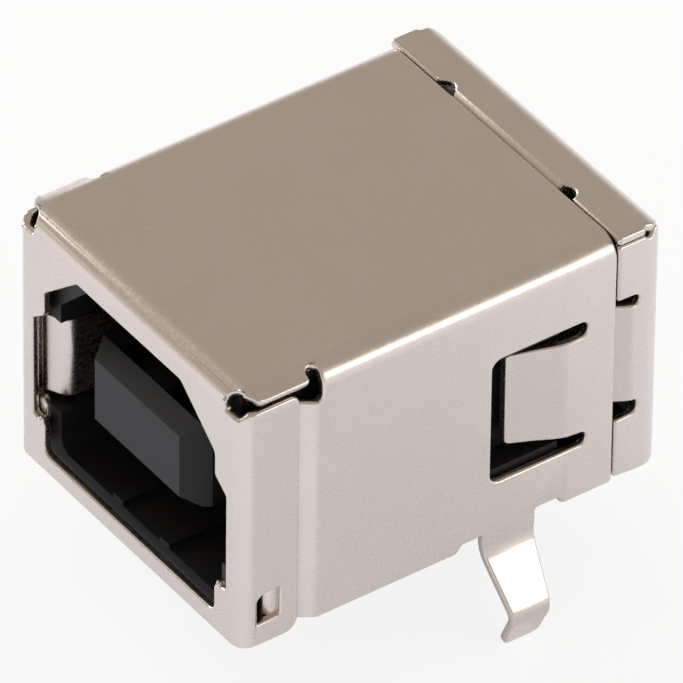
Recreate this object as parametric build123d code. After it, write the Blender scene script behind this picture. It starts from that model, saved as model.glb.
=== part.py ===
from build123d import *
import os

# Right-angle USB series B socket for a circuit board, through-hole, in millimetres.
# A folded plated shell holds a black insulator with a tongue and four contacts,
# and a second folded sheet closes the back with tabs that slide in under the first.
# +Z is up from the board and the mouth faces -Y. Inside this file Y is counted from the
# front face; to_frame() then moves every piece so that the origin lies on the board,
# midway between the two shield legs.

# Shell as a whole
shell_width = 12.0
shell_height = 9.7
shell_depth = 15.75
sheet = 0.3
fit_gap = 0.03
seam_gap = 0.07

# Outside radii of the bends
side_bend = 0.75
front_bend = 0.6
flap_bend = 0.55
rear_bend = 0.75

# Front face: the plug opening and the side notches in front of the spring fingers
opening_width = 9.1
opening_bottom = 0.67
opening_top = 8.5
opening_chamfer_width = 1.8
opening_chamfer_height = 1.55
opening_corner = 0.35
notch_depth = 0.57
notch_top = 5.6
notch_bottom = 1.86
notch_slope = 0.5
tooth_width = 0.35
tooth_rise = 0.12
tooth_round = 0.14

# Flaps folded back from the front face over the ends of the side walls
flap_depth = 2.13
flap_gap = 0.1
flap_slope = 0.18
flap_top_round = 0.15
flap_corner = 0.5
catch_window_front = 0.45
catch_window_width = 1.0
catch_window_bottom = 0.66
catch_window_height = 1.47
catch_window_corner = 0.2
catch_bottom = 0.9
catch_top = 1.95
catch_lip = 0.86
catch_crest = 1.1
catch_root = 1.55
catch_rise = 0.25

# Side walls: joggle behind the flap, top slot, bottom edges
wall_front = 2.92
slot_width = 0.42
slot_reach = 0.5
joggle_back = 2.9
joggle_front = 2.25
joggle_top = 8.6
joggle_round = 0.42
tuck_front = 0.4
tuck_foot = 2.2
tuck_shoulder = 1.6
catch_hole_front = 0.5
catch_hole_back = 1.0
catch_sheet = 0.2
corner_hole = 0.34
corner_hole_in = 0.32
wall_lift = 0.07
rear_lift = 0.22
cover_length = 1.87

# Housing latch, a tongue lanced inwards from each side wall
window_bottom = 2.25
window_top = 7.05
window_corner = 0.35
window_gap = 0.15
lance_setback = 1.03
lance_slot = 0.7
lance_length = 2.73
lance_bottom = 2.7
lance_top = 6.5
lance_lean = 0.4

# Shield legs
leg_setback = 3.88
leg_root_width = 2.0
leg_knee_width = 1.44
leg_tip_width = 1.36
leg_splay_start = -0.2
leg_knee_out = 1.35
leg_knee_drop = 2.3
leg_tip_out = 0.7
leg_tip_drop = 3.65
leg_bend = 0.35
relief_width = 0.9
relief_height = 0.3

# Rear cover
cover_lift = 0.28
cover_top_gap = 0.03
tab_joggle_reach = 0.8
top_joggle_reach = 0.5
tab_joggle_start = 0.12
top_tab_half = 2.72
top_notch_radius = 0.43
top_tab_reach = 0.98
side_tab_bottom = 3.1
side_tab_top = 6.86
side_tab_reach = 0.98
side_tab_trim = 0.18
side_slot_length = 0.8
side_slot_height = 0.42
cover_hole = 0.2
cover_edge = 0.01
mitre_gap = 0.03

# Spring fingers, folded back from the front ends of the side walls
finger_low = 2.45
finger_high = 5.5
finger_root = 0.95
finger_fold = 0.36
finger_ramp_half = 4.6
finger_ramp = 0.94
finger_run_half = 4.52
finger_run = 2.6
finger_crest_half = 4.0
finger_crest = 4.2
finger_tip_half = 4.45
finger_tip = 5.1
finger_taper = 0.2
finger_fold_bend = 0.2
finger_ramp_bend = 0.25
finger_run_bend = 0.6
finger_crest_bend = 0.6
finger_clearance = 0.25

# Housing
housing_front = 0.5
housing_setback = 2.0
housing_nose_half = 5.3
housing_nose_back = 3.3
wall_clearance = 0.05
cavity_width = 8.6
cavity_floor = 0.8
cavity_ceiling = 8.47
cavity_chamfer = 2.0
cavity_setback = 2.3
cavity_corner = 0.5
rail_width = 0.5
rail_height = 0.17
latch_clearance = 0.2
ledge_bottom = 0.3
ledge_top = 1.5
ledge_gap = 0.15
ledge_half = 5.1
under_chamfer = 0.75
body_round = 0.15

# Tongue
tongue_width = 5.6
tongue_height = 3.18
tongue_front = 0.34
tongue_nose_width = 4.5
tongue_nose_height = 2.34
tongue_nose_length = 0.85
tongue_bevel_length = 0.6

# Contacts
contact_pitch = 2.5
contact_sheet = 0.25
contact_width = 0.9
groove_width = 1.3
groove_depth = 0.45
groove_front = 0.95
contact_tip = 2.0
contact_crown_front = 2.9
contact_crown_back = 4.4
contact_crown_rise = 0.3
contact_settle_setback = 1.5
contact_bend = 0.5
tail_width = 0.6
tail_length = 3.0
tail_shoulder = 2.2
tail_point = 0.25
row_offset = 2.71
row_pitch = 2.0

seam = shell_depth - cover_length
leg_line = seam - leg_setback
lance_slot_end = seam - lance_setback
lance_root = lance_slot_end - lance_slot
lance_tip = lance_root - lance_length
window_front = lance_tip - window_gap
tab_joggle_back = seam + tab_joggle_reach
tab_joggle_front = seam + tab_joggle_start
top_joggle_back = seam + top_joggle_reach
top_tab_front = seam - top_tab_reach
side_tab_front = seam - side_tab_reach
housing_back = leg_line + housing_setback
cavity_back = housing_back - cavity_setback
ledge_back = shell_depth - sheet - ledge_gap
contact_settle = cavity_back - contact_settle_setback
half_width = shell_width / 2
wall_mid = half_width - sheet / 2
inner_half = half_width - sheet
top_inside = shell_height - sheet
top_mid = shell_height - sheet / 2
tuck_mid = wall_mid - sheet - fit_gap
cavity_middle = (cavity_floor + cavity_ceiling) / 2
tongue_top = cavity_middle + tongue_height / 2
tongue_bottom = cavity_middle - tongue_height / 2
contact_half = contact_pitch / 2
front_row = leg_line + row_offset
back_row = front_row + row_pitch
big = 40.0


def to_frame(shape):
    return Pos(0, -leg_line, 0) * shape


def block(x, y, z):
    """A box between (low, high) limits on each axis."""
    centre = Pos((x[0] + x[1]) / 2, (y[0] + y[1]) / 2, (z[0] + z[1]) / 2)
    return centre * Box(x[1] - x[0], y[1] - y[0], z[1] - z[0])


def along_z(face, low, high):
    """A plan outline, drawn in X and Y, raised from low to high."""
    return extrude(Pos(0, 0, low) * face, amount=high - low)


def along_x(face, low, high):
    """A side outline, drawn in Y and Z, carried from low to high in X."""
    return extrude(Plane.YZ.offset(low) * face, amount=high - low)


def along_y(face, low, high):
    """A front outline, drawn in X and Z, carried from low to high in Y."""
    return extrude(Plane.XZ.offset(-low) * face, amount=low - high)


def folded(points, radii, thickness=sheet):
    """The edge-on outline of a folded strip, from the points of its middle line."""
    return trace(FilletPolyline(*points, radius=radii), thickness)


def outline(points):
    return make_face(Polyline(*points, close=True))


def both_sides(shape):
    return [shape, mirror(shape, about=Plane.YZ)]


def round_box(a, b, radius):
    """A rounded rectangle between two opposite corners."""
    width, height = abs(b[0] - a[0]), abs(b[1] - a[1])
    return Pos((a[0] + b[0]) / 2, (a[1] + b[1]) / 2) * RectangleRounded(width, height, radius)


# Main shell: one sheet folded over the top, both sides, the front face and its flaps

def shell_over():
    """Top panel with both side walls, behind the slots at the front corners."""
    low = wall_lift
    path = [(-wall_mid, low), (-wall_mid, top_mid), (wall_mid, top_mid), (wall_mid, low)]
    bend = side_bend - sheet / 2
    over = along_y(folded(path, bend), wall_front, seam)
    raised = block((-big, big), (leg_line, big), (-big, rear_lift))
    return over - raised


def corner_holes():
    """Round reliefs where the front bend, the flap bend and the top plate meet."""
    at = half_width - corner_hole_in
    hole = Pos(at, corner_hole_in, shell_height - corner_hole_in) * Sphere(corner_hole)
    return both_sides(hole)


def shell_front():
    """Front face, the bend to the top panel and the flat plate over the flaps."""
    low = front_bend
    path = [(sheet / 2, low), (sheet / 2, top_mid), (wall_front + sheet, top_mid)]
    flat_half = half_width - flap_bend
    bent = along_x(folded(path, front_bend - sheet / 2), -flat_half, flat_half)
    plate_plan = round_box((-half_width, front_bend), (half_width, wall_front + slot_width), slot_width / 2)
    plate = along_z(plate_plan, top_inside, shell_height)
    plate &= block((-half_width, half_width), (0, wall_front), (0, big))
    slot = along_z(round_box((half_width - slot_reach, wall_front - slot_width),
                             (half_width + slot_reach, wall_front),
                             slot_width / 2 - 0.01), top_inside - sheet, shell_height + sheet)
    return bent + plate - both_sides(slot)


def shell_flaps():
    """Front face again, with the two flaps folded back from its sides."""
    path = [(-wall_mid, flap_depth), (-wall_mid, sheet / 2), (wall_mid, sheet / 2), (wall_mid, flap_depth)]
    flaps = along_z(folded(path, flap_bend - sheet / 2), 0, top_inside - flap_gap)
    top = top_inside - flap_gap
    side = outline([(-1, 0), (-1, top - flap_slope), (flap_bend, top - flap_slope), (flap_depth, top),
                    (flap_depth, 0)])
    rear = side.vertices().group_by(Axis.X)[-1].sort_by(Axis.Y)
    side = fillet([rear[0]], flap_corner)
    rear = side.vertices().group_by(Axis.Y)[-1]
    side = fillet(rear, flap_top_round)
    flaps &= along_x(side, -big, big)
    middle = block((-half_width + flap_bend, half_width - flap_bend), (-1, sheet + 1),
                   (top_inside - front_bend, shell_height))
    return flaps - middle


def mouth_outline():
    """The plug opening with its chamfers and side notches, drawn in X and Z."""
    half = opening_width / 2
    notch = half + notch_depth
    right = [(half - opening_chamfer_width, opening_top),
             (half, opening_top - opening_chamfer_height),
             (half, notch_top + notch_slope),
             (notch, notch_top),
             (notch, notch_bottom),
             (half + tooth_width, notch_bottom),
             (half + tooth_width, notch_bottom + tooth_rise),
             (half, notch_bottom + tooth_rise),
             (half, opening_bottom)]
    left = [(-x, z) for x, z in reversed(right)]
    mouth = outline(right + left)
    teeth = [v for v in mouth.vertices() if abs(v.Y - notch_bottom - tooth_rise) < 0.01 and abs(v.X) > half + 0.01]
    mouth = fillet(teeth, tooth_round / 2)
    low, high = opening_bottom + 0.01, opening_top - opening_chamfer_height - 0.01
    corners = [v for v in mouth.vertices() if v.Y < low or v.Y > high]
    return fillet(corners, opening_corner)


def catch_window():
    """The window in a flap, drawn in Y and Z."""
    high = (catch_window_front + catch_window_width, catch_window_bottom + catch_window_height)
    return round_box((catch_window_front, catch_window_bottom), high, catch_window_corner)


def tucked_end():
    """The joggled front end of the right side wall, which lies behind its flap."""
    path = [(wall_mid, wall_front + sheet), (wall_mid, joggle_back),
            (tuck_mid, joggle_front), (tuck_mid, tuck_front)]
    end = along_z(folded(path, 0.25), wall_lift, joggle_top)
    lower_front = [(big, wall_lift), (tuck_front, wall_lift), (tuck_front, tuck_foot), (finger_root, tuck_foot)]
    upper_front = [(finger_root, finger_high), (tuck_shoulder, finger_high), (tuck_shoulder, joggle_top),
                   (big, joggle_top)]
    trim = outline(lower_front + upper_front)
    shoulder = [v for v in trim.vertices() if v.X < tuck_shoulder + 0.01 and v.Y > finger_high + 0.01]
    foot = [v for v in trim.vertices() if v.X < tuck_front + 0.01 and v.Y < tuck_foot - 0.01]
    trim = fillet(shoulder + foot, joggle_round)
    hole = block((inner_half - 2 * sheet, half_width), (catch_hole_front, catch_hole_back),
                 (catch_bottom, catch_top))
    return (end & along_x(trim, 0, big)) - hole


def catch():
    """The small arched catch of a tucked end, seen in the window of the flap."""
    crest = tuck_mid + catch_rise
    path = [(tuck_mid + catch_rise / 2, catch_lip), (crest, catch_crest), (crest, catch_crest + catch_rise),
            (tuck_mid, catch_root)]
    return along_z(folded(path, 0.1, catch_sheet), catch_bottom, catch_top)


def finger_plan():
    return [(tuck_mid, finger_root), (tuck_mid, finger_fold), (finger_ramp_half, finger_ramp),
            (finger_run_half, finger_run), (finger_crest_half, finger_crest), (finger_tip_half, finger_tip)]


def finger_side(grow):
    """Side outline of a finger, drawn in Y and Z, larger all round by grow."""
    low, high = finger_low - grow, finger_high + grow
    return outline([(-1, low), (finger_ramp, low), (finger_tip + 1, low + finger_taper),
                    (finger_tip + 1, high - finger_taper), (finger_ramp, high), (-1, high)])


def finger():
    """The right spring finger, folded inwards and back from the tucked end."""
    bends = [finger_fold_bend, finger_ramp_bend, finger_run_bend, finger_crest_bend]
    strip = along_z(folded(finger_plan(), bends), 0, shell_height)
    return strip & along_x(finger_side(0), 0, big)


def lance_cut():
    """The window and the two slots that free the housing latch, drawn in Y and Z."""
    cut = round_box((window_front, window_bottom), (lance_slot_end, window_top), window_corner)
    root = Pos((lance_root + big) / 2, (lance_bottom + lance_top) / 2)
    return cut - root * Rectangle(big - lance_root, lance_top - lance_bottom)


def lance():
    """The latch itself, leaning inwards towards its free end."""
    path = [(wall_mid, lance_slot_end + 0.4), (wall_mid, lance_root), (wall_mid - lance_lean, lance_tip)]
    return along_z(folded(path, 0.8), lance_bottom, lance_top)


def leg():
    """The right shield leg: splayed out to a knee and turned in at the tip."""
    path = [(wall_mid, 1.0), (wall_mid, leg_splay_start),
            (wall_mid + leg_knee_out, -leg_knee_drop), (wall_mid + leg_tip_out, -leg_tip_drop)]
    blank = along_y(folded(path, leg_bend), leg_line - leg_root_width, leg_line + leg_root_width)
    root, knee, tip = leg_root_width / 2, leg_knee_width / 2, leg_tip_width / 2
    half = [(root, 1.0), (root, 0.0), (knee, -leg_knee_drop), (tip, -big)]
    taper = [(leg_line + y, z) for y, z in half] + [(leg_line - y, z) for y, z in reversed(half)]
    return blank & along_x(outline(taper), 0, big)


def main_shell():
    shell = shell_over() + shell_front() + shell_flaps()
    shell -= along_y(mouth_outline(), -1, sheet + 0.05)
    for cut in (along_x(catch_window(), inner_half - 0.01, big), along_x(lance_cut(), inner_half - 0.3, big)):
        shell -= both_sides(cut)
    shell -= corner_holes()
    relief_low = leg_line - leg_root_width / 2 - relief_width
    relief_high = leg_line + leg_root_width / 2 + relief_width
    relief = round_box((relief_low, -relief_height), (relief_high, rear_lift + relief_height), relief_height / 2)
    shell -= both_sides(along_x(relief, inner_half - 0.3, big))
    for piece in (tucked_end(), catch(), finger(), lance(), leg()):
        shell += both_sides(piece)
    return shell


# Rear cover: back panel, top flange and side flanges with tabs that tuck in under the shell

def cover_back():
    """Back panel bent forward into the top flange and the two side flanges, with mitred corners."""
    back_mid = shell_depth - sheet / 2
    bend = rear_bend - sheet / 2
    front = seam + seam_gap
    edge = half_width - cover_edge
    flat_half = half_width - rear_bend
    flat_top = shell_height - rear_bend
    over = along_x(folded([(front, top_mid), (back_mid, top_mid), (back_mid, cover_lift)], bend), -edge, edge)
    side = folded([(wall_mid, front), (wall_mid, back_mid), (0, back_mid)], bend)
    around = along_z(side, cover_lift, shell_height) - block((0, flat_half), (front, big), (0, big))
    rear = shell_depth - rear_bend
    below = [(flat_half, -1), (big, -1), (big, flat_top + big - flat_half), (flat_half, flat_top)]
    under_mitre = along_y(outline(below), rear, big)
    under_flange = block((0, big), (-1, rear), (-1, top_inside - cover_top_gap))
    around &= under_mitre + under_flange
    over -= both_sides(along_y(outline([(x - mitre_gap, z) for x, z in below]), rear, big))
    return over + both_sides(around)


def cover_tab(wall, outer, reach, front):
    """Middle line of a tab that steps inwards by one sheet to slide in under the shell."""
    under = wall - sheet - fit_gap
    return [(shell_depth - rear_bend, wall), (outer + reach, wall), (outer + tab_joggle_start, under),
            (front, under)]


def cover_top_tab():
    line = cover_tab(top_mid, seam, top_joggle_reach, top_tab_front)
    return along_x(folded(line, 0.2), -top_tab_half, top_tab_half)


def cover_side_tab():
    line = [(wall, y) for y, wall in cover_tab(wall_mid, seam, tab_joggle_reach, side_tab_front)]
    tab = along_z(folded(line, 0.25), side_tab_bottom, side_tab_top)
    narrow = block((0, big), (0, seam), (side_tab_bottom + side_tab_trim, side_tab_top - side_tab_trim))
    return tab & (narrow + block((0, big), (seam, big), (0, shell_height)))


def rear_cover():
    cover = cover_back()
    front = seam + seam_gap
    window = block((-top_tab_half, top_tab_half), (front - 1, seam + top_joggle_reach + 0.1),
                   (top_inside - 0.1, big))
    notch = Pos(top_tab_half + top_notch_radius, front, top_inside) * Cylinder(top_notch_radius, 2)
    cover -= [window] + both_sides(notch)
    slot_end = front + side_slot_length
    heights = (side_tab_bottom - side_slot_height, side_tab_top + side_slot_height)
    cover -= both_sides(block((inner_half - 0.1, big), (front - 1, slot_end), heights))
    hole = Pos(half_width, shell_depth - rear_bend + cover_hole / 2, top_inside) * Sphere(cover_hole)
    cover -= both_sides(hole)
    return cover + cover_top_tab() + both_sides(cover_side_tab())


# Housing: the black insulator with its cavity, tongue and rear ledge

def rounded_top(half, front, back, height, radius):
    """A block on the board whose two upper long edges are rounded."""
    face = Pos(0, height / 2) * Rectangle(2 * half, height)
    upper = [v for v in face.vertices() if v.Y > height / 2]
    return along_y(fillet(upper, radius), front, back)


def housing_body():
    top = top_inside - wall_clearance
    wide = inner_half - wall_clearance
    body = rounded_top(wide, housing_nose_back, housing_back, top, side_bend - sheet)
    body += rounded_top(housing_nose_half, housing_front, housing_nose_back, top, body_round)
    edge = wide - under_chamfer
    under = along_y(outline([(edge - 1, -1), (edge + 1, 1), (edge + 1, -1)]), 0, big)
    body -= both_sides(under)
    return body + block((-ledge_half, ledge_half), (housing_back, ledge_back), (ledge_bottom, ledge_top))


def cavity():
    half = cavity_width / 2
    face = outline([(-half, cavity_floor), (half, cavity_floor), (half, cavity_ceiling - cavity_chamfer),
                    (half - cavity_chamfer, cavity_ceiling), (-half + cavity_chamfer, cavity_ceiling),
                    (-half, cavity_ceiling - cavity_chamfer)])
    low = [v for v in face.vertices() if v.Y < cavity_floor + 0.01]
    face = fillet(low, cavity_corner)
    return along_y(face, housing_front - 1, cavity_back)


def tongue():
    half, nose = tongue_width / 2, tongue_nose_width / 2
    side = tongue_front + tongue_nose_length
    plan = outline([(-half, cavity_back + 0.2), (-half, side), (-nose, tongue_front),
                    (nose, tongue_front), (half, side), (half, cavity_back + 0.2)])
    nose_low = cavity_middle - tongue_nose_height / 2
    nose_high = cavity_middle + tongue_nose_height / 2
    bevel = tongue_front + tongue_bevel_length
    edge = outline([(cavity_back + 0.2, tongue_bottom), (bevel, tongue_bottom), (tongue_front, nose_low),
                    (tongue_front, nose_high), (bevel, tongue_top), (cavity_back + 0.2, tongue_top)])
    return along_z(plan, tongue_bottom, tongue_top) & along_x(edge, -half, half)


def finger_slot():
    """The opening along one side wall in which a spring finger moves, right side."""
    grow = finger_clearance
    start = cavity_width / 2 - 0.05
    return along_x(finger_side(grow), start, big) & block((0, big), (-1, finger_tip + grow), (0, big))


def latch_pocket():
    """The pocket that the lanced latch of a side wall drops into, right side."""
    grow = latch_clearance
    pocket = round_box((window_front - grow, lance_bottom - grow), (lance_slot_end + grow, lance_top + grow), 0.1)
    return along_x(pocket, inner_half - lance_lean - sheet - grow, big)


def tab_pocket():
    """The shallow pocket behind a side tab of the rear cover, right side."""
    grow = latch_clearance
    pocket = block((0, big), (side_tab_front - grow, big), (side_tab_bottom - grow, side_tab_top + grow))
    return pocket & block((tuck_mid - sheet / 2 - grow, big), (0, big), (0, big))


def contact_slots(x, level, row):
    """Groove in the tongue, slot through the back wall and comb slot for one contact."""
    grow = fit_gap
    away = 1 if level > cavity_middle else -1
    surface = tongue_top if away > 0 else tongue_bottom
    floor = surface - away * groove_depth
    groove = block((x - groove_width / 2, x + groove_width / 2), (groove_front, cavity_back),
                   tuple(sorted((floor, surface + away * 0.5))))
    half = contact_width / 2 + grow
    thick = contact_sheet / 2 + grow
    wall = block((x - half, x + half), (cavity_back - 0.1, housing_back + 0.1), (level - thick, level + thick))
    comb_half = tail_width / 2 + grow
    comb = block((x - comb_half, x + comb_half), (front_row - thick, big), (-1, ledge_top + 0.1))
    return [groove, wall, comb]


def housing():
    body = housing_body() - cavity()
    for pocket in (finger_slot(), latch_pocket(), tab_pocket()):
        body -= both_sides(pocket)
    body += tongue()
    rail = block((contact_half - rail_width / 2, contact_half + rail_width / 2), (housing_front, cavity_back + 0.1),
                 (cavity_floor - 0.1, cavity_floor + rail_height))
    body += both_sides(rail)
    for x, level, row in contact_places().values():
        body -= contact_slots(x, level, row)
    return body


# Contacts: four stamped strips, two above and two below the tongue

def contact_level(away):
    """Middle height of a contact where it lies in its groove, above (1) or below (-1)."""
    surface = tongue_top if away > 0 else tongue_bottom
    return surface - away * (groove_depth - fit_gap - contact_sheet / 2)


def contact_places():
    high, low = contact_level(1), contact_level(-1)
    return {"contact_vbus": (contact_half, high, back_row),
            "contact_data_minus": (-contact_half, high, back_row),
            "contact_data_plus": (-contact_half, low, front_row),
            "contact_ground": (contact_half, low, front_row)}


def contact(x, level, row):
    away = 1 if level > cavity_middle else -1
    crown = level + away * contact_crown_rise
    path = [(contact_tip, level), (contact_crown_front, crown), (contact_crown_back, crown),
            (contact_settle, level), (row, level), (row, -tail_length)]
    strip = folded(path, [0.6, 0.6, 1.2, contact_bend], contact_sheet)
    blank = along_x(strip, x - contact_width / 2, x + contact_width / 2)
    half, tail = contact_width / 2, tail_width / 2
    width = [(half, big), (half, tail_shoulder), (tail, tail_shoulder - 0.3), (tail, tail_point - tail_length),
             (tail - 0.15, -tail_length)]
    front = [(x + w, z) for w, z in width] + [(x - w, z) for w, z in reversed(width)]
    return blank & along_y(outline(front), -1, big)


parts = {"main_shell": main_shell(), "rear_cover": rear_cover(), "housing": housing()}
for name, place in contact_places().items():
    parts[name] = contact(*place)

os.makedirs("parts", exist_ok=True)
for name, shape in parts.items():
    export_step(to_frame(shape), f"parts/{name}.step")
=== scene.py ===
import math

import bmesh
import bpy
from mathutils import Matrix, Vector


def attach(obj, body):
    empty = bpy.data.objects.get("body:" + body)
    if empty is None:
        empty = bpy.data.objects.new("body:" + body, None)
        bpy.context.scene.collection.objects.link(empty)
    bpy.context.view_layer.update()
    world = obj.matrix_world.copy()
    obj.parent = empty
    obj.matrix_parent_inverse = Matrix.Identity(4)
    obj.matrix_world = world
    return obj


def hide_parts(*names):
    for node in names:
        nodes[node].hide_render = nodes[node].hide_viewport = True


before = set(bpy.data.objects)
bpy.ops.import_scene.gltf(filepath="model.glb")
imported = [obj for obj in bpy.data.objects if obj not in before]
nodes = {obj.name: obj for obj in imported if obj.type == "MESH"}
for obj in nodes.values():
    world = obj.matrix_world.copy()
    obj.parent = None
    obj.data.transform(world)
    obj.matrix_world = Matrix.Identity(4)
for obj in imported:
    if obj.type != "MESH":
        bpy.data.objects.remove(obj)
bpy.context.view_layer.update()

# Lengths are in millimetres, Y counted from the front face, until finish_mesh() turns them into metres
MM = 0.001
LEG_LINE = 10.0
QUARTER = math.pi / 2

# Both folded sheets: thickness, rim of a cut edge, and the middle lines of panels and bends
SHEET = 0.3
RIM = 0.09
WALL = 5.85
TOP = 9.55
BACK = 15.6
SEAM = 13.88
SIDE_BEND = 0.6
FRONT_BEND = 0.52
FLAP_BEND = 0.4
REAR_BEND = 0.6

# Side walls: lower edges, front ends tucked in behind the flaps, joggle and slots in the top
WALL_LOW = 0.07
WALL_LOW_REAR = 0.22
TUCK = 0.33
TUCK_FRONT = 0.4
TUCK_FOOT = 2.2
TUCK_SHOULDER = 1.6
JOGGLE = (2.25, 2.9)
SLOT_IN = 5.4856
SLOT_ROUND = 0.21
SLOT_AT = 2.77
WALL_FROM = 8.7
PANEL_LINES = {"high": 8.3, "front": 3.1}

# Latches lanced from the walls, the windows around them, and spring fingers
LATCH = {"low": 2.7, "high": 6.5, "root": 12.15, "tip": 10.19, "lean": 0.64}
LATCH_CURL = 0.55
LATCH_LINES = 0.25
LATCH_FREE = 9.6
LATCH_WINDOW = {"low": 2.25, "high": 7.05, "front": 9.27, "rear": 12.85}
FINGER = {"low": 2.45, "high": 5.5, "root": 1.15}

# Legs: half widths and the cranked middle line, as x and z
LEG_HALF = {"root": 1.0, "knee": 0.72, "tip_front": 0.64, "tip_rear": 0.68}
LEG_ROOT = -0.45
LEG_KNEE = (WALL + 1.35, -2.3)
LEG_TIP = (WALL + 0.7, -3.65)
KNEE_FROM_TIP = 1.5
FRONT_RELIEF = {"high": 0.34, "reach": 1.75}
REAR_RELIEF = {"high": 0.52, "reach": 1.85}

# Front face: mouth and side notches, flaps with their windows, brow bend with its corner holes
MOUTH = {"half": 4.55, "low": 0.67, "high": 8.5, "roof_half": 2.75, "chamfer_low": 6.95}
NOTCH = {"half": 5.15, "low": 1.93, "high": 5.62}
FLAP_REAR = 2.13
FLAP_WINDOW = {"front": 0.63, "rear": 1.45, "high": 1.95}
FRONT_LINES = (2.4, 8.75)
FRONT_FLAT = WALL - FLAP_BEND
FLAP_START = FRONT_FLAT + FLAP_BEND * QUARTER
BROW = TOP - FRONT_BEND
BROW_END = 5.96
BROW_CURL = (0.3, 0.8)
CORNER_HALF = 5.06
CORNER_HOLE = 0.38

# Rear cover: lower edge, flange edge, tabs and their joggles, mitred corners
COVER_LOW = 0.28
COVER_FRONT = 13.92
TAB_FRONT = 12.9
TOP_TAB_HALF = 2.72
TOP_NOTCH = {"at": 3.15, "radius": 0.4}
SIDE_TAB = {"low": 3.3, "high": 6.7}
SIDE_SLOT = {"end": 14.74, "low": 2.6, "high": 7.22}
TOP_JOGGLE = (13.78, 14.18)
SIDE_JOGGLE = (13.75, 14.6)
TOP_TAB_SPAN = {"rear": 15, "low": 9}
SIDE_TAB_SPAN = {"rear": 14.7, "low": 2.85, "high": 7.05}
MITRE_GAP = 0.045
MITRE_CUT = 8.5

# Meshing: lengths that count as none (CAD_POINT in metres), corners left alone, edges that get a rim
SAME_LENGTH = 1e-9
SAME_POINT = 1e-5
CAD_POINT = 1e-6
ON_LINE = 1e-4
SEAM_REACH = 2e-3
NEAREST = 0.012
STRAIGHT = math.radians(168)
SHEARED_EDGE = math.radians(50)
MOULDED_EDGE = math.radians(25)
JOGGLE_STEPS = 6

# Rounded edges of the moulding and of the stamped contacts
HOUSING_ROUND = 0.1
CONTACT_ROUND = 0.03

# Camera, fitted to the outline in the photograph
CAMERA_AT = Vector((0.268721, -0.195233, 0.274420))
CAMERA_AIM = Vector((-0.62923, 0.45230, -0.63206))
CAMERA_ROLL = math.radians(0.723)
CAMERA_LENS = 737.45

# Studio, in metres and watts
ROOM_LOW, ROOM_HIGH = 0.75, 0.47
FLOOR_LEVEL = -3.75 * MM
FLOOR_HALF = 3.0
LAMP_AIM = (0, 0, 0.004)
LAMPS = {
    "back softbox": {"at": (0.32, 0.26, 0.13), "size": (0.3, 0.16), "power": 0.35},
    "key softbox": {"at": (-0.44, -0.056, 0.16), "size": (0.24, 0.24), "power": 0.95},
}


# Folded sheet: outlines drawn flat, cut at the bend lines, folded along a path and thickened

class Path:
    """The middle line of a folded strip, with rounded corners, measured from its start."""

    def __init__(self, points, radii, steps=8):
        self.parts, self.cuts = [], []
        length, here = 0.0, Vector(points[0])
        for i in range(1, len(points)):
            corner = Vector(points[i])
            if i == len(points) - 1:
                self.parts.append((length, here.copy(), corner.copy(), None))
                length += (corner - here).length
                break
            a, b = (corner - here).normalized(), (Vector(points[i + 1]) - corner).normalized()
            turn = math.acos(max(-1, min(1, a.dot(b))))
            radius = radii[i - 1]
            reach = radius * math.tan(turn / 2)
            start, end = corner - a * reach, corner + b * reach
            self.parts.append((length, here.copy(), start, None))
            length += (start - here).length
            side = 1 if a.x * b.y - a.y * b.x > 0 else -1
            centre = start + Vector((-a.y, a.x)) * radius * side
            self.parts.append((length, start, end, (centre, radius, side, turn)))
            count = max(2, round(steps * turn / QUARTER))
            self.cuts += [length + radius * turn * k / count for k in range(count + 1)]
            length += radius * turn
            here = end
        self.length = length

    def at(self, s):
        """Point and unit normal (to the left of the way along) at distance s."""
        part = self.parts[0]
        for candidate in self.parts:
            if s >= candidate[0] - SAME_LENGTH:
                part = candidate
        begin, start, end, bend = part
        if bend is None:
            along = (end - start).normalized()
            return start + along * (s - begin), Vector((-along.y, along.x))
        centre, radius, side, turn = bend
        arm = start - centre
        angle = side * min(turn, (s - begin) / radius)
        c, k = math.cos(angle), math.sin(angle)
        arm = Vector((arm.x * c - arm.y * k, arm.x * k + arm.y * c))
        return centre + arm, arm.normalized() * -side


def soft(points, steps=6):
    """A loop whose corners are rounded: each point is (u, v) or (u, v, radius)."""
    loop = []
    count = len(points)
    for i, point in enumerate(points):
        p = Vector(point[:2])
        radius = point[2] if len(point) > 2 else 0
        if not radius:
            loop.append(p)
            continue
        a = (Vector(points[i - 1][:2]) - p).normalized()
        b = (Vector(points[(i + 1) % count][:2]) - p).normalized()
        angle = math.acos(max(-1, min(1, a.dot(b))))
        if angle > STRAIGHT:
            loop.append(p)
            continue
        reach = radius / math.tan(angle / 2)
        centre = p + (a + b).normalized() * (radius / math.sin(angle / 2))
        start, end = p + a * reach, p + b * reach
        first, last = start - centre, end - centre
        turn = math.atan2(first.x * last.y - first.y * last.x, first.dot(last))
        count_here = max(2, round(steps * abs(turn) / QUARTER))
        for k in range(count_here + 1):
            c, s = math.cos(turn * k / count_here), math.sin(turn * k / count_here)
            loop.append(centre + Vector((first.x * c - first.y * s, first.x * s + first.y * c)))
    return [p for i, p in enumerate(loop) if (p - loop[i - 1]).length > NEAREST]


def arc(u, v, radius, start, end, steps=8):
    """Points of an arc, angles in degrees."""
    angles = [math.radians(start + (end - start) * k / steps) for k in range(steps + 1)]
    return [(u + radius * math.cos(a), v + radius * math.sin(a)) for a in angles]


def twin(half):
    """A whole loop from its right half, mirrored across u = 0."""
    return list(half) + mirror(half)


def mirror(loop):
    """The same loop on the other side of u = 0."""
    return [(-p[0],) + tuple(p[1:]) for p in reversed(loop)]


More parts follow.
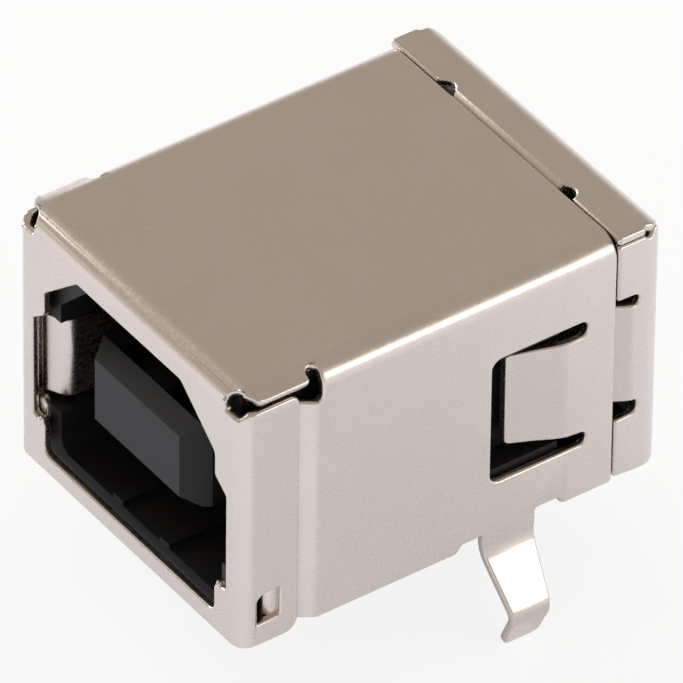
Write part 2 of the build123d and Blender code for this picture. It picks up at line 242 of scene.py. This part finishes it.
def joggle_lines(span):
    """Even cuts across a joggle."""
    low, high = span
    return [low + (high - low) * k / JOGGLE_STEPS for k in range(JOGGLE_STEPS + 1)]


def add_sheet(bm, loops, cuts, place):
    """Fills a flat outline, cuts it at the bend lines and folds it, as the outer skin of the sheet."""
    flat = bmesh.new()
    for loop in loops:
        verts = [flat.verts.new((p[0], p[1], 0)) for p in loop]
        for i in range(len(verts)):
            flat.edges.new((verts[i - 1], verts[i]))
    bmesh.ops.remove_doubles(flat, verts=flat.verts[:], dist=SAME_POINT)
    bmesh.ops.triangle_fill(flat, use_beauty=True, use_dissolve=False, edges=flat.edges[:],
                            normal=(0, 0, 1))
    for axis, value in cuts:
        unit = Vector((1, 0, 0)) if axis == "u" else Vector((0, 1, 0))
        geometry = flat.verts[:] + flat.edges[:] + flat.faces[:]
        bmesh.ops.bisect_plane(flat, geom=geometry, dist=SAME_POINT, plane_co=unit * value, plane_no=unit)

    def on_cut(edge):
        for axis, value in cuts:
            k = 0 if axis == "u" else 1
            if all(abs(v.co[k] - value) < ON_LINE for v in edge.verts):
                return True
        return False

    inner = [e for e in flat.edges if len(e.link_faces) == 2 and not on_cut(e)]
    bmesh.ops.dissolve_edges(flat, edges=inner, use_verts=False, use_face_split=False)
    spare = [v for v in flat.verts if len(v.link_edges) == 2 and not v.is_boundary]
    bmesh.ops.dissolve_verts(flat, verts=spare)
    loose = [v for v in flat.verts if not v.link_faces]
    bmesh.ops.delete(flat, geom=loose, context="VERTS")

    inward = flat.verts.layers.float_vector.new("inward")
    for v in flat.verts:
        point, normal = place(v.co.x, v.co.y)
        v.co = point + normal * SHEET / 2
        v[inward] = -SHEET * normal
    folded = bpy.data.meshes.new("folded")
    flat.to_mesh(folded)
    flat.free()
    bm.from_mesh(folded)
    bpy.data.meshes.remove(folded)


def finish_sheet(bm, name, material):
    """Joins the seams, gives the sheet its thickness and rounds the cut edges."""
    bmesh.ops.remove_doubles(bm, verts=bm.verts[:], dist=SEAM_REACH)
    inward = bm.verts.layers.float_vector["inward"]
    grown = bmesh.ops.extrude_face_region(bm, geom=bm.faces[:], use_keep_orig=True)
    for v in grown["geom"]:
        if isinstance(v, bmesh.types.BMVert):
            v.co += v[inward]
    bmesh.ops.recalc_face_normals(bm, faces=bm.faces[:])
    bevel_edges(bm, SHEARED_EDGE, RIM, segments=3, clamp=False)
    keep_inside(bm)
    bm.verts.layers.float_vector.remove(bm.verts.layers.float_vector["inward"])
    return finish_mesh(bm, name, material)


def bevel_edges(bm, least, width, segments, clamp):
    """Rounds every edge that turns by more than the least angle."""
    sharp = [e for e in bm.edges if len(e.link_faces) == 2 and e.calc_face_angle(0) > least]
    bmesh.ops.bevel(bm, geom=sharp, offset=width, offset_type="OFFSET", segments=segments, profile=0.5,
                    affect="EDGES", clamp_overlap=clamp, material=-1)


def keep_inside(bm):
    """Holds the rims within the outer faces of the top and of the walls above the board."""
    side = WALL + SHEET / 2
    for v in bm.verts:
        v.co.z = min(v.co.z, TOP + SHEET / 2)
        if v.co.z > 0:
            v.co.x = max(-side, min(side, v.co.x))


def finish_mesh(bm, name, material):
    """Makes the object, in metres in the shared frame, smooth between flat panels, on the only body."""
    open_edges = sum(len(e.link_faces) != 2 for e in bm.edges)
    if open_edges:
        print("open edges in", name, open_edges)
    for v in bm.verts:
        v.co = Vector((v.co.x, v.co.y - LEG_LINE, v.co.z)) * MM
    mesh = bpy.data.meshes.new(name)
    bm.to_mesh(mesh)
    bm.free()
    mesh.polygons.foreach_set("use_smooth", [True] * len(mesh.polygons))
    obj = bpy.data.objects.new(name, mesh)
    bpy.context.collection.objects.link(obj)
    mesh.materials.append(material)
    modifier = obj.modifiers.new("flat panels", "WEIGHTED_NORMAL")
    modifier.weight = 100
    modifier.keep_sharp = False
    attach(obj, "root")
    return obj


def flip(place, mirrored):
    """The same fold on the other side of the plane X = 0."""
    if not mirrored:
        return place

    def other(u, v):
        point, normal = place(u, v)
        return Vector((-point.x, point.y, point.z)), Vector((-normal.x, normal.y, normal.z))
    return other


def upright(path, start=0):
    """The fold of a strip that stands on the board: u runs along the path and v is the height."""
    def place(u, v):
        (x, y), (nx, ny) = path.at(u + start)
        return Vector((x, y, v)), Vector((nx, ny, 0))
    return place


def add_strip(bm, path, outline, mirrored):
    """An upright strip that bends along its path, on the right or on the left side."""
    cuts = [("u", s) for s in path.cuts]
    add_sheet(bm, [soft(outline)], cuts, flip(upright(path), mirrored))


def ramp(value, low, high):
    """0 below low, 1 above high, smooth between."""
    t = max(0.0, min(1.0, (value - low) / (high - low)))
    return t * t * (3 - 2 * t)


# Main shell

def wall_s(z):
    """Distance along the over path, from the middle of the top, of height z on a side wall."""
    return WALL - SIDE_BEND + SIDE_BEND * QUARTER + TOP - SIDE_BEND - z


def over_path():
    """Across the shell, from the tip of one leg over the top to the tip of the other."""
    right = [(WALL, TOP), (WALL, LEG_ROOT), LEG_KNEE, LEG_TIP]
    points = [(-x, z) for x, z in reversed(right)] + right
    return Path(points, [0.5, 1.0, SIDE_BEND, SIDE_BEND, 1.0, 0.5])


def wall_end_outline():
    """From the slot in the top down the front end of a side wall, as far as its lower edge."""
    s = wall_s
    low, high, root = s(FINGER["low"]), s(FINGER["high"]), FINGER["root"]
    return arc(SLOT_IN + SLOT_ROUND, SLOT_AT, SLOT_ROUND, 180, 90) + [
        (s(8.5), SLOT_AT + SLOT_ROUND, 0.22), (s(8.55), TUCK_SHOULDER, 0.4),
        (high, TUCK_SHOULDER, 0.1), (high, root), (low, root),
        (s(TUCK_FOOT), root, 0.1), (s(TUCK_FOOT), TUCK_FRONT, 0.15), (s(WALL_LOW), TUCK_FRONT, 0.42)]


def leg_outline():
    """From the front relief around a leg to the rear relief."""
    end = over_path().length / 2
    knee, board = end - KNEE_FROM_TIP, wall_s(0.0)
    front, rear = wall_s(FRONT_RELIEF["high"]), wall_s(REAR_RELIEF["high"])
    root, bend = LEG_HALF["root"], LEG_HALF["knee"]
    return [
        (wall_s(WALL_LOW), LEG_LINE - FRONT_RELIEF["reach"] - 0.2, 0.2),
        (front, LEG_LINE - FRONT_RELIEF["reach"], 0.12), (front, LEG_LINE - root, 0.12),
        (board, LEG_LINE - root, 0.3), (knee, LEG_LINE - bend, 0.5),
        (end, LEG_LINE - LEG_HALF["tip_front"], 0.25), (end, LEG_LINE + LEG_HALF["tip_rear"], 0.3),
        (knee, LEG_LINE + bend, 0.5), (board, LEG_LINE + root, 0.3),
        (rear, LEG_LINE + root, 0.12), (rear, LEG_LINE + REAR_RELIEF["reach"], 0.12),
        (wall_s(WALL_LOW_REAR), LEG_LINE + REAR_RELIEF["reach"] + 0.13, 0.2)]


def over_outline():
    """The flat blank of top, side walls and legs."""
    return twin(wall_end_outline() + leg_outline() + [(wall_s(WALL_LOW_REAR), SEAM, 0.15)])


def latch_hole():
    """The window around a latch, which hangs on its rear end."""
    s = wall_s
    low, high, tip = LATCH["low"], LATCH["high"], LATCH["tip"]
    window_low, window_high = LATCH_WINDOW["low"], LATCH_WINDOW["high"]
    front, rear = LATCH_WINDOW["front"], LATCH_WINDOW["rear"]
    return [(s(window_low), front, 0.35), (s(window_high), front, 0.35),
            (s(window_high), rear - 0.05, 0.25), (s(high), rear, 0.25),
            (s(high - 0.05), tip, 0.18), (s(low + 0.25), tip, 0.18),
            (s(low), rear, 0.2), (s(window_low), rear - 0.05, 0.2)]


def catch_hole():
    """The opening in a tucked wall end, in front of the small catch."""
    low, high = wall_s(0.66), wall_s(2.0)
    front, rear = 0.56, 1.13
    return [(low, front, 0.1), (high, front, 0.1), (high, rear, 0.1), (low, rear, 0.1)]


def over_place(path):
    """Folds top, walls and legs, tucks the wall ends in and leans the latches."""
    half = path.length / 2

    def place(u, v):
        (x, z), (nx, nz) = path.at(u + half)
        point, normal = Vector((x, v, z)), Vector((nx, 0, nz))
        side = 1 if u > 0 else -1
        on_wall = abs(u) > wall_s(WALL_FROM)
        if on_wall:
            point.x -= side * TUCK * (1 - ramp(v, *JOGGLE))
            if LATCH["low"] - 0.01 <= z <= LATCH["high"] + 0.01 and LATCH_FREE < v < LATCH["root"]:
                reach = (LATCH["root"] - v) / (LATCH["root"] - LATCH["tip"])
                point.x -= side * LATCH["lean"] * reach * min(1.0, LATCH_CURL + reach)
        return point, normal
    return place


def add_over(bm):
    """Top panel, side walls and legs."""
    path = over_path()
    half = path.length / 2
    cuts = [("u", s - half) for s in path.cuts] + [("u", 0)]
    cuts += [("v", line) for line in joggle_lines(JOGGLE)]
    cuts += [("v", LATCH["root"] - LATCH_LINES * k) for k in range(5)]
    high = wall_s(PANEL_LINES["high"])
    cuts += [("u", high), ("u", -high), ("v", PANEL_LINES["front"])]
    holes = [latch_hole(), catch_hole()]
    left = [mirror(hole) for hole in holes]
    add_sheet(bm, [soft(loop) for loop in [over_outline()] + holes + left], cuts, over_place(path))


def add_finger(bm, mirrored):
    """A spring finger, folded back into the mouth from the front end of a side wall."""
    inner = WALL - TUCK
    points = [(inner, FINGER["root"]), (inner, 0.58), (4.65, 1.02), (4.52, 2.6), (4.0, 4.2), (4.45, 5.1)]
    path = Path(points, [0.2, 0.4, 0.6, 0.6])
    end = path.length
    low, high = FINGER["low"], FINGER["high"]
    outline = [(0, low), (1.2, low, 0.1), (end, low + 0.2, 0.4), (end, high - 0.2, 0.4),
               (1.2, high - 0.02, 0.1), (0, high)]
    add_strip(bm, path, outline, mirrored)


def flap_s(y):
    """Distance along the front path, from its middle, of depth y on a flap."""
    return FLAP_START + y - SHEET / 2 - FLAP_BEND


def mouth_hole():
    """The plug opening, with a notch in front of each finger and small teeth below it."""
    half, low, notch = MOUTH["half"], MOUTH["low"], NOTCH["half"]
    right = [(MOUTH["roof_half"], MOUTH["high"], 0.3), (half, MOUTH["chamfer_low"], 0.3),
             (half, 6.08, 0.25), (notch, NOTCH["high"], 0.08), (notch, NOTCH["low"], 0.1),
             (4.86, 1.86, 0.06), (4.8, 1.97, 0.06), (4.66, 1.97, 0.06), (4.6, 1.78, 0.06),
             (half, 1.7), (half, low, 0.32)]
    return twin(right)


def add_front(bm):
    """The front face and the flaps that are folded back from it over the wall ends."""
    path = Path([(WALL, FLAP_REAR), (WALL, SHEET / 2), (-WALL, SHEET / 2), (-WALL, FLAP_REAR)],
                [FLAP_BEND, FLAP_BEND])
    half = path.length / 2
    rear = flap_s(FLAP_REAR)
    right = [(CORNER_HALF, BROW), (CORNER_HALF + 0.06, 8.9, 0.08), (CORNER_HALF + 0.6, 8.9, 0.2),
             (CORNER_HALF + 0.8, 9.12, 0.14), (rear, 9.13, 0.3), (rear, 0, 0.5)]
    window_front, window_rear = flap_s(FLAP_WINDOW["front"]), flap_s(FLAP_WINDOW["rear"])
    high = FLAP_WINDOW["high"]
    window = [(window_front, 0.82, 0.05), (window_rear, 0.88, 0.1), (window_rear, high, 0.06),
              (flap_s(0.88), high, 0.25), (window_front, 1.76, 0.2)]
    cuts = [("u", s - half) for s in path.cuts] + [("u", 0)] + [("v", line) for line in FRONT_LINES]
    loops = [twin(right), mouth_hole(), window, mirror(window)]
    add_sheet(bm, [soft(loop) for loop in loops], cuts, upright(path, half))


def add_brow(bm):
    """The bend above the mouth and the flat plate over the flaps."""
    path = Path([(SHEET / 2, BROW), (SHEET / 2, TOP), (SLOT_AT, TOP)], [FRONT_BEND])
    end = path.length
    bend = FRONT_BEND * QUARTER
    flat_half = WALL - SIDE_BEND

    def t(y):
        return bend + y - SHEET / 2 - FRONT_BEND
    right = [(CORNER_HALF, 0)] + arc(CORNER_HALF + CORNER_HOLE, 0.2, CORNER_HOLE, 180, 72, 5)
    right += [(BROW_END, t(0.68), 0.3), (BROW_END, t(SLOT_AT - SLOT_ROUND), 0.16)]
    right += arc(SLOT_IN + SLOT_ROUND, end, SLOT_ROUND, 270, 180)

    def place(u, v):
        (y, z), (ny, nz) = path.at(v)
        side = 1 if u > 0 else -1
        inner = min(abs(u), SLOT_IN)
        blend = ramp(y, *BROW_CURL)
        turn = blend * max(0.0, inner - flat_half) / SIDE_BEND
        x, drop = inner, 0.0
        if turn:
            radius = (inner - flat_half) / turn
            x = flat_half + radius * math.sin(turn) + (abs(u) - inner) * math.cos(turn)
            drop = radius * (1 - math.cos(turn)) + (abs(u) - inner) * math.sin(turn)
        return Vector((side * x, y, z - drop)), Vector((side * math.sin(turn), ny, nz * math.cos(turn)))
    cuts = [("v", s) for s in path.cuts] + [("u", 0), ("v", t(BROW_CURL[1]))]
    for k in range(3):
        reach = flat_half + (SLOT_IN - flat_half) * k / 2
        cuts += [("u", reach), ("u", -reach)]
    add_sheet(bm, [soft(twin(right))], cuts, place)


def add_catch(bm, mirrored):
    """The small arched catch of a tucked wall end, seen in the window of a flap."""
    inner = WALL - TUCK
    points = [(inner + 0.02, 1.06), (inner + 0.2, 1.24), (inner + 0.2, 1.42), (inner, 1.62)]
    path = Path(points, [0.12, 0.12])
    end = path.length
    add_strip(bm, path, [(0, 0.83, 0.1), (end, 0.78), (end, 2.06), (0, 2.0, 0.1)], mirrored)


def add_ear(bm, mirrored):
    """The short ear below a finger, turned in behind the front face."""
    inner = WALL - TUCK - 0.02
    path = Path([(inner, 0.85), (inner, 0.47), (4.88, 0.47)], [0.17])
    end = path.length
    add_strip(bm, path, [(0, 1.5, 0.1), (end, 1.55, 0.15), (end, 2.38, 0.3), (0, 2.38)], mirrored)


def make_main_shell(material):
    bm = bmesh.new()
    add_over(bm)
    add_front(bm)
    add_brow(bm)
    for mirrored in (False, True):
        add_finger(bm, mirrored)
        add_catch(bm, mirrored)
        add_ear(bm, mirrored)
    shell = finish_sheet(bm, "shell", material)
    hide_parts("main_shell")


# Rear cover

def mitre(extent):
    """Points of a mitred edge in a rear bend, from the back panel outwards. Extent: half width or height."""
    flat, outer = extent - REAR_BEND, REAR_BEND + SHEET / 2
    angles = [QUARTER * k / 8 for k in range(9)]
    return [(flat + outer * math.sin(a) - MITRE_GAP, REAR_BEND * a) for a in angles]


def add_cover_over(bm):
    """The back panel and the top flange with its tab."""
    path = Path([(BACK, COVER_LOW), (BACK, TOP), (TAB_FRONT, TOP)], [REAR_BEND])
    flat = TOP - REAR_BEND - COVER_LOW
    bend = REAR_BEND * QUARTER
    edge = WALL - REAR_BEND

    def t(y):
        return flat + bend + BACK - REAR_BEND - y
    right = [(edge, 0), (edge, flat - MITRE_GAP)]
    right += [(x, flat + s) for x, s in mitre(WALL)][:-2]
    right += [(5.86, t(15.0), 0.1), (5.99, t(14.88), 0.1), (5.99, t(COVER_FRONT), 0.13)]
    right += arc(TOP_NOTCH["at"], t(COVER_FRONT - 0.05), TOP_NOTCH["radius"], -7, -187)
    right += [(TOP_TAB_HALF, t(TAB_FRONT), 0.2)]

    def place(u, v):
        (y, z), (ny, nz) = path.at(v)
        if abs(u) < TOP_NOTCH["at"] and y < TOP_TAB_SPAN["rear"] and z > TOP_TAB_SPAN["low"]:
            z -= TUCK * (1 - ramp(y, *TOP_JOGGLE))
        return Vector((u, y, z)), -Vector((0, ny, nz))
    cuts = [("v", s) for s in path.cuts] + [("v", MITRE_CUT - COVER_LOW)]
    cuts += [("v", t(line)) for line in joggle_lines(TOP_JOGGLE)]
    add_sheet(bm, [soft(twin(right))], cuts, place)


def add_cover_side(bm, mirrored):
    """A side flange of the rear cover, with its tab between two slots."""
    edge = WALL - REAR_BEND
    path = Path([(edge, BACK), (WALL, BACK), (WALL, TAB_FRONT)], [REAR_BEND])
    bend = REAR_BEND * QUARTER

    def t(y):
        return bend + BACK - REAR_BEND - y
    front, tab_end, slot_end = t(COVER_FRONT), t(TAB_FRONT), t(SIDE_SLOT["end"])
    low, high = SIDE_TAB["low"], SIDE_TAB["high"]
    outline = [(0, COVER_LOW), (t(14.65), COVER_LOW), (front, 0.36, 0.12), (front, 2.56, 0.1)]
    outline += [(slot_end, SIDE_SLOT["low"], 0.2), (slot_end, 3.1, 0.16), (t(13.85), 3.1, 0.1),
                (t(13.8), low, 0.1), (tab_end, low, 0.3), (tab_end, high, 0.3), (t(13.8), high, 0.1),
                (t(13.85), 6.88, 0.1), (slot_end, 6.84, 0.16), (slot_end, SIDE_SLOT["high"], 0.18)]
    outline += [(front, 7.26, 0.1), (front, 9.36, 0.1), (t(14.9), 9.36, 0.1), (t(15.1), 9.22, 0.08)]
    outline += [(s, z) for z, s in reversed(mitre(TOP))][3:]
    fold = upright(path)

    def place(u, v):
        point, normal = fold(u, v)
        if SIDE_TAB_SPAN["low"] < v < SIDE_TAB_SPAN["high"] and point.y < SIDE_TAB_SPAN["rear"]:
            point.x -= TUCK * (1 - ramp(point.y, *SIDE_JOGGLE))
        return point, normal
    cuts = [("u", s) for s in path.cuts] + [("v", MITRE_CUT)]
    cuts += [("u", t(line)) for line in joggle_lines(SIDE_JOGGLE)]
    add_sheet(bm, [soft(outline)], cuts, flip(place, mirrored))


def make_rear_cover(material):
    bm = bmesh.new()
    add_cover_over(bm)
    for mirrored in (False, True):
        add_cover_side(bm, mirrored)
    cover = finish_sheet(bm, "cover", material)
    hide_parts("rear_cover")


# Housing and contacts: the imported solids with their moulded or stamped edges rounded

def make_rounded(name, new_name, rim, material):
    """Stands for a CAD node: its own shape, joined up, with every sharp edge rounded."""
    bm = bmesh.new()
    bm.from_mesh(nodes[name].data)
    bmesh.ops.remove_doubles(bm, verts=bm.verts[:], dist=CAD_POINT)
    for v in bm.verts:
        v.co = Vector((v.co.x / MM, v.co.y / MM + LEG_LINE, v.co.z / MM))
    bmesh.ops.dissolve_limit(bm, angle_limit=math.radians(1), verts=bm.verts[:], edges=bm.edges[:])
    bevel_edges(bm, MOULDED_EDGE, rim, segments=2, clamp=True)
    piece = finish_mesh(bm, new_name, material)
    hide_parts(name)


# Camera, light and materials

def make_camera():
    data = bpy.data.cameras.new("camera")
    data.lens = CAMERA_LENS
    data.sensor_width = 36
    data.clip_start, data.clip_end = 0.01, 10
    cam = bpy.data.objects.new("camera", data)
    bpy.context.collection.objects.link(cam)
    forward = CAMERA_AIM.normalized()
    side = forward.cross(Vector((0, 0, 1))).normalized()
    up = side.cross(forward)
    c, s = math.cos(CAMERA_ROLL), math.sin(CAMERA_ROLL)
    right, top = c * side + s * up, -s * side + c * up
    turn = Matrix((right, top, -forward)).transposed().to_4x4()
    cam.matrix_world = Matrix.Translation(CAMERA_AT) @ turn
    bpy.context.scene.camera = cam


def colour(text):
    """sRGB hex to the linear values that Blender's sockets take."""
    values = [int(text[i:i + 2], 16) / 255 for i in (1, 3, 5)]
    return [v / 12.92 if v <= 0.04045 else ((v + 0.055) / 1.055) ** 2.4 for v in values] + [1.0]


def add_node(tree, kind, inputs=None, **settings):
    """Adds a node with its settings. Each input takes a value, or the output that feeds it."""
    node = tree.nodes.new(kind)
    for name, value in settings.items():
        setattr(node, name, value)
    for name, value in (inputs or {}).items():
        if isinstance(value, bpy.types.NodeSocket):
            tree.links.new(value, node.inputs[name])
        else:
            node.inputs[name].default_value = value
    return node


def start_material(name):
    """A material with only its shader, and the piece's own coordinates in metres."""
    material = bpy.data.materials.new(name)
    material.use_nodes = True
    tree = material.node_tree
    place = add_node(tree, "ShaderNodeTexCoord").outputs["Object"]
    return material, tree, tree.nodes["Principled BSDF"], place


def per_mm(size):
    """Noise scale for a pattern of this size in millimetres."""
    return 1 / (size * MM)


def nickel_plate():
    """Nickel plated strip: a warm satin metal with a fine rolled grain and faint clouds."""
    material, tree, shader, place = start_material("satin nickel plate")
    clouds = add_node(tree, "ShaderNodeTexNoise", {"Vector": place, "Scale": per_mm(2.5), "Detail": 4.0})
    shades = {"Factor": clouds.outputs["Fac"], 6: colour("#d6cabe"), 7: colour("#ded2c8")}
    tint = add_node(tree, "ShaderNodeMix", shades, data_type="RGBA")
    along = add_node(tree, "ShaderNodeMapping", {"Vector": place, "Scale": (1.0, 0.35, 1.0)})
    grain = add_node(tree, "ShaderNodeTexNoise", {
        "Vector": along.outputs[0], "Scale": per_mm(0.11), "Detail": 3.0, "Roughness": 0.6})
    level = add_node(tree, "ShaderNodeMapRange", {
        "Value": grain.outputs["Fac"], "From Min": 0.3, "From Max": 0.7, "To Min": 0.24, "To Max": 0.32})
    bump = add_node(tree, "ShaderNodeBump", {
        "Height": grain.outputs["Fac"], "Strength": 0.05, "Distance": 0.01 * MM})
    shader.inputs["Metallic"].default_value = 1.0
    tree.links.new(tint.outputs[2], shader.inputs["Base Color"])
    tree.links.new(level.outputs[0], shader.inputs["Roughness"])
    tree.links.new(bump.outputs[0], shader.inputs["Normal"])
    return material


def black_plastic():
    """Black moulded thermoplastic: nearly matt, with the fine eggshell of a spark eroded mould."""
    material, tree, shader, place = start_material("black moulded plastic")
    pits = add_node(tree, "ShaderNodeTexNoise", {"Vector": place, "Scale": per_mm(0.09), "Detail": 2.0})
    clouds = add_node(tree, "ShaderNodeTexNoise", {"Vector": place, "Scale": per_mm(1.6), "Detail": 3.0})
    shades = {"Factor": clouds.outputs["Fac"], 6: colour("#151313"), 7: colour("#1c1a1a")}
    tint = add_node(tree, "ShaderNodeMix", shades, data_type="RGBA")
    bump = add_node(tree, "ShaderNodeBump", {
        "Height": pits.outputs["Fac"], "Strength": 0.35, "Distance": 0.015 * MM})
    shader.inputs["Roughness"].default_value = 0.5
    shader.inputs["Specular IOR Level"].default_value = 0.35
    tree.links.new(tint.outputs[2], shader.inputs["Base Color"])
    tree.links.new(bump.outputs[0], shader.inputs["Normal"])
    return material


def gold_plate():
    """Thin gold over nickel on the contacts: yellow and fairly bright, with faint draw marks."""
    material, tree, shader, place = start_material("gold plated contact strip")
    along = add_node(tree, "ShaderNodeMapping", {"Vector": place, "Scale": (1.0, 0.08, 0.08)})
    marks = add_node(tree, "ShaderNodeTexNoise", {
        "Vector": along.outputs[0], "Scale": per_mm(0.05), "Detail": 2.0})
    level = add_node(tree, "ShaderNodeMapRange", {
        "Value": marks.outputs["Fac"], "To Min": 0.2, "To Max": 0.36})
    shades = {"Factor": marks.outputs["Fac"], 6: colour("#cfa85a"), 7: colour("#dbb768")}
    tint = add_node(tree, "ShaderNodeMix", shades, data_type="RGBA")
    shader.inputs["Metallic"].default_value = 1.0
    tree.links.new(tint.outputs[2], shader.inputs["Base Color"])
    tree.links.new(level.outputs[0], shader.inputs["Roughness"])
    return material


def studio_world():
    """A soft grey room, paler near the horizon, as a white floor makes it."""
    world = bpy.data.worlds.new("studio")
    bpy.context.scene.world = world
    world.use_nodes = True
    tree = world.node_tree
    tree.nodes.clear()
    toward = add_node(tree, "ShaderNodeTexCoord").outputs["Generated"]
    height = add_node(tree, "ShaderNodeSeparateXYZ", {"Vector": toward}).outputs["Z"]
    span = {"Value": height, "From Min": 0.0, "From Max": 0.5, "To Min": ROOM_LOW, "To Max": ROOM_HIGH}
    level = add_node(tree, "ShaderNodeMapRange", span, interpolation_type="SMOOTHSTEP").outputs[0]
    room = add_node(tree, "ShaderNodeBackground", {"Color": colour("#fff8ee"), "Strength": level})
    add_node(tree, "ShaderNodeOutputWorld", {"Surface": room.outputs[0]})


def white_floor():
    """White card: nearly white to the camera, cooler and paler to the metal, darker under the object."""
    bm = bmesh.new()
    bmesh.ops.create_grid(bm, x_segments=1, y_segments=1, size=FLOOR_HALF)
    bmesh.ops.translate(bm, verts=bm.verts[:], vec=(0, 0, FLOOR_LEVEL))
    mesh = bpy.data.meshes.new("floor")
    bm.to_mesh(mesh)
    bm.free()
    floor = bpy.data.objects.new("floor", mesh)
    bpy.context.collection.objects.link(floor)

    material = bpy.data.materials.new("white card")
    material.use_nodes = True
    tree = material.node_tree
    tree.nodes.clear()
    path = add_node(tree, "ShaderNodeLightPath").outputs
    mirrored = add_node(tree, "ShaderNodeMath", {0: path["Is Glossy Ray"], 1: path["Is Transmission Ray"]},
                        operation="MAXIMUM").outputs[0]
    card = add_node(tree, "ShaderNodeBsdfDiffuse", {"Color": colour("#e6e6e6")}).outputs[0]
    cool = add_node(tree, "ShaderNodeBsdfDiffuse", {"Color": colour("#d7ddec")}).outputs[0]
    shade = add_node(tree, "ShaderNodeBsdfDiffuse", {"Color": colour("#747474")}).outputs[0]
    white = add_node(tree, "ShaderNodeEmission", {"Color": colour("#ffffff"), "Strength": 0.85}).outputs[0]
    sheen = add_node(tree, "ShaderNodeEmission", {"Color": colour("#f0f4ff"), "Strength": 0.1}).outputs[0]
    to_camera = add_node(tree, "ShaderNodeAddShader", {0: shade, 1: white}).outputs[0]
    twice = add_node(tree, "ShaderNodeAddShader", {0: cool, 1: cool}).outputs[0]
    to_metal = add_node(tree, "ShaderNodeAddShader", {0: twice, 1: sheen}).outputs[0]
    mix = add_node(tree, "ShaderNodeMixShader", {0: mirrored, 1: card, 2: to_metal}).outputs[0]
    mix = add_node(tree, "ShaderNodeMixShader", {0: path["Is Camera Ray"], 1: mix, 2: to_camera})
    add_node(tree, "ShaderNodeOutputMaterial", {"Surface": mix.outputs[0]})
    mesh.materials.append(material)


def area_light(name, at, size, power):
    data = bpy.data.lights.new(name, "AREA")
    data.shape = "RECTANGLE"
    data.size, data.size_y = size
    data.energy = power
    light = bpy.data.objects.new(name, data)
    bpy.context.collection.objects.link(light)
    light.location = at
    light.rotation_euler = (Vector(LAMP_AIM) - Vector(at)).to_track_quat("-Z", "Y").to_euler()


make_camera()
studio_world()
white_floor()
for lamp, facts in LAMPS.items():
    area_light(lamp, **facts)

plate, black, gold = nickel_plate(), black_plastic(), gold_plate()
make_main_shell(plate)
make_rear_cover(plate)
make_rounded("housing", "insulator", HOUSING_ROUND, black)
for name in nodes:
    if name.startswith("contact_"):
        make_rounded(name, name.replace("contact_", "strip_"), CONTACT_ROUND, gold)

bpy.context.scene.view_settings.view_transform = "Standard"
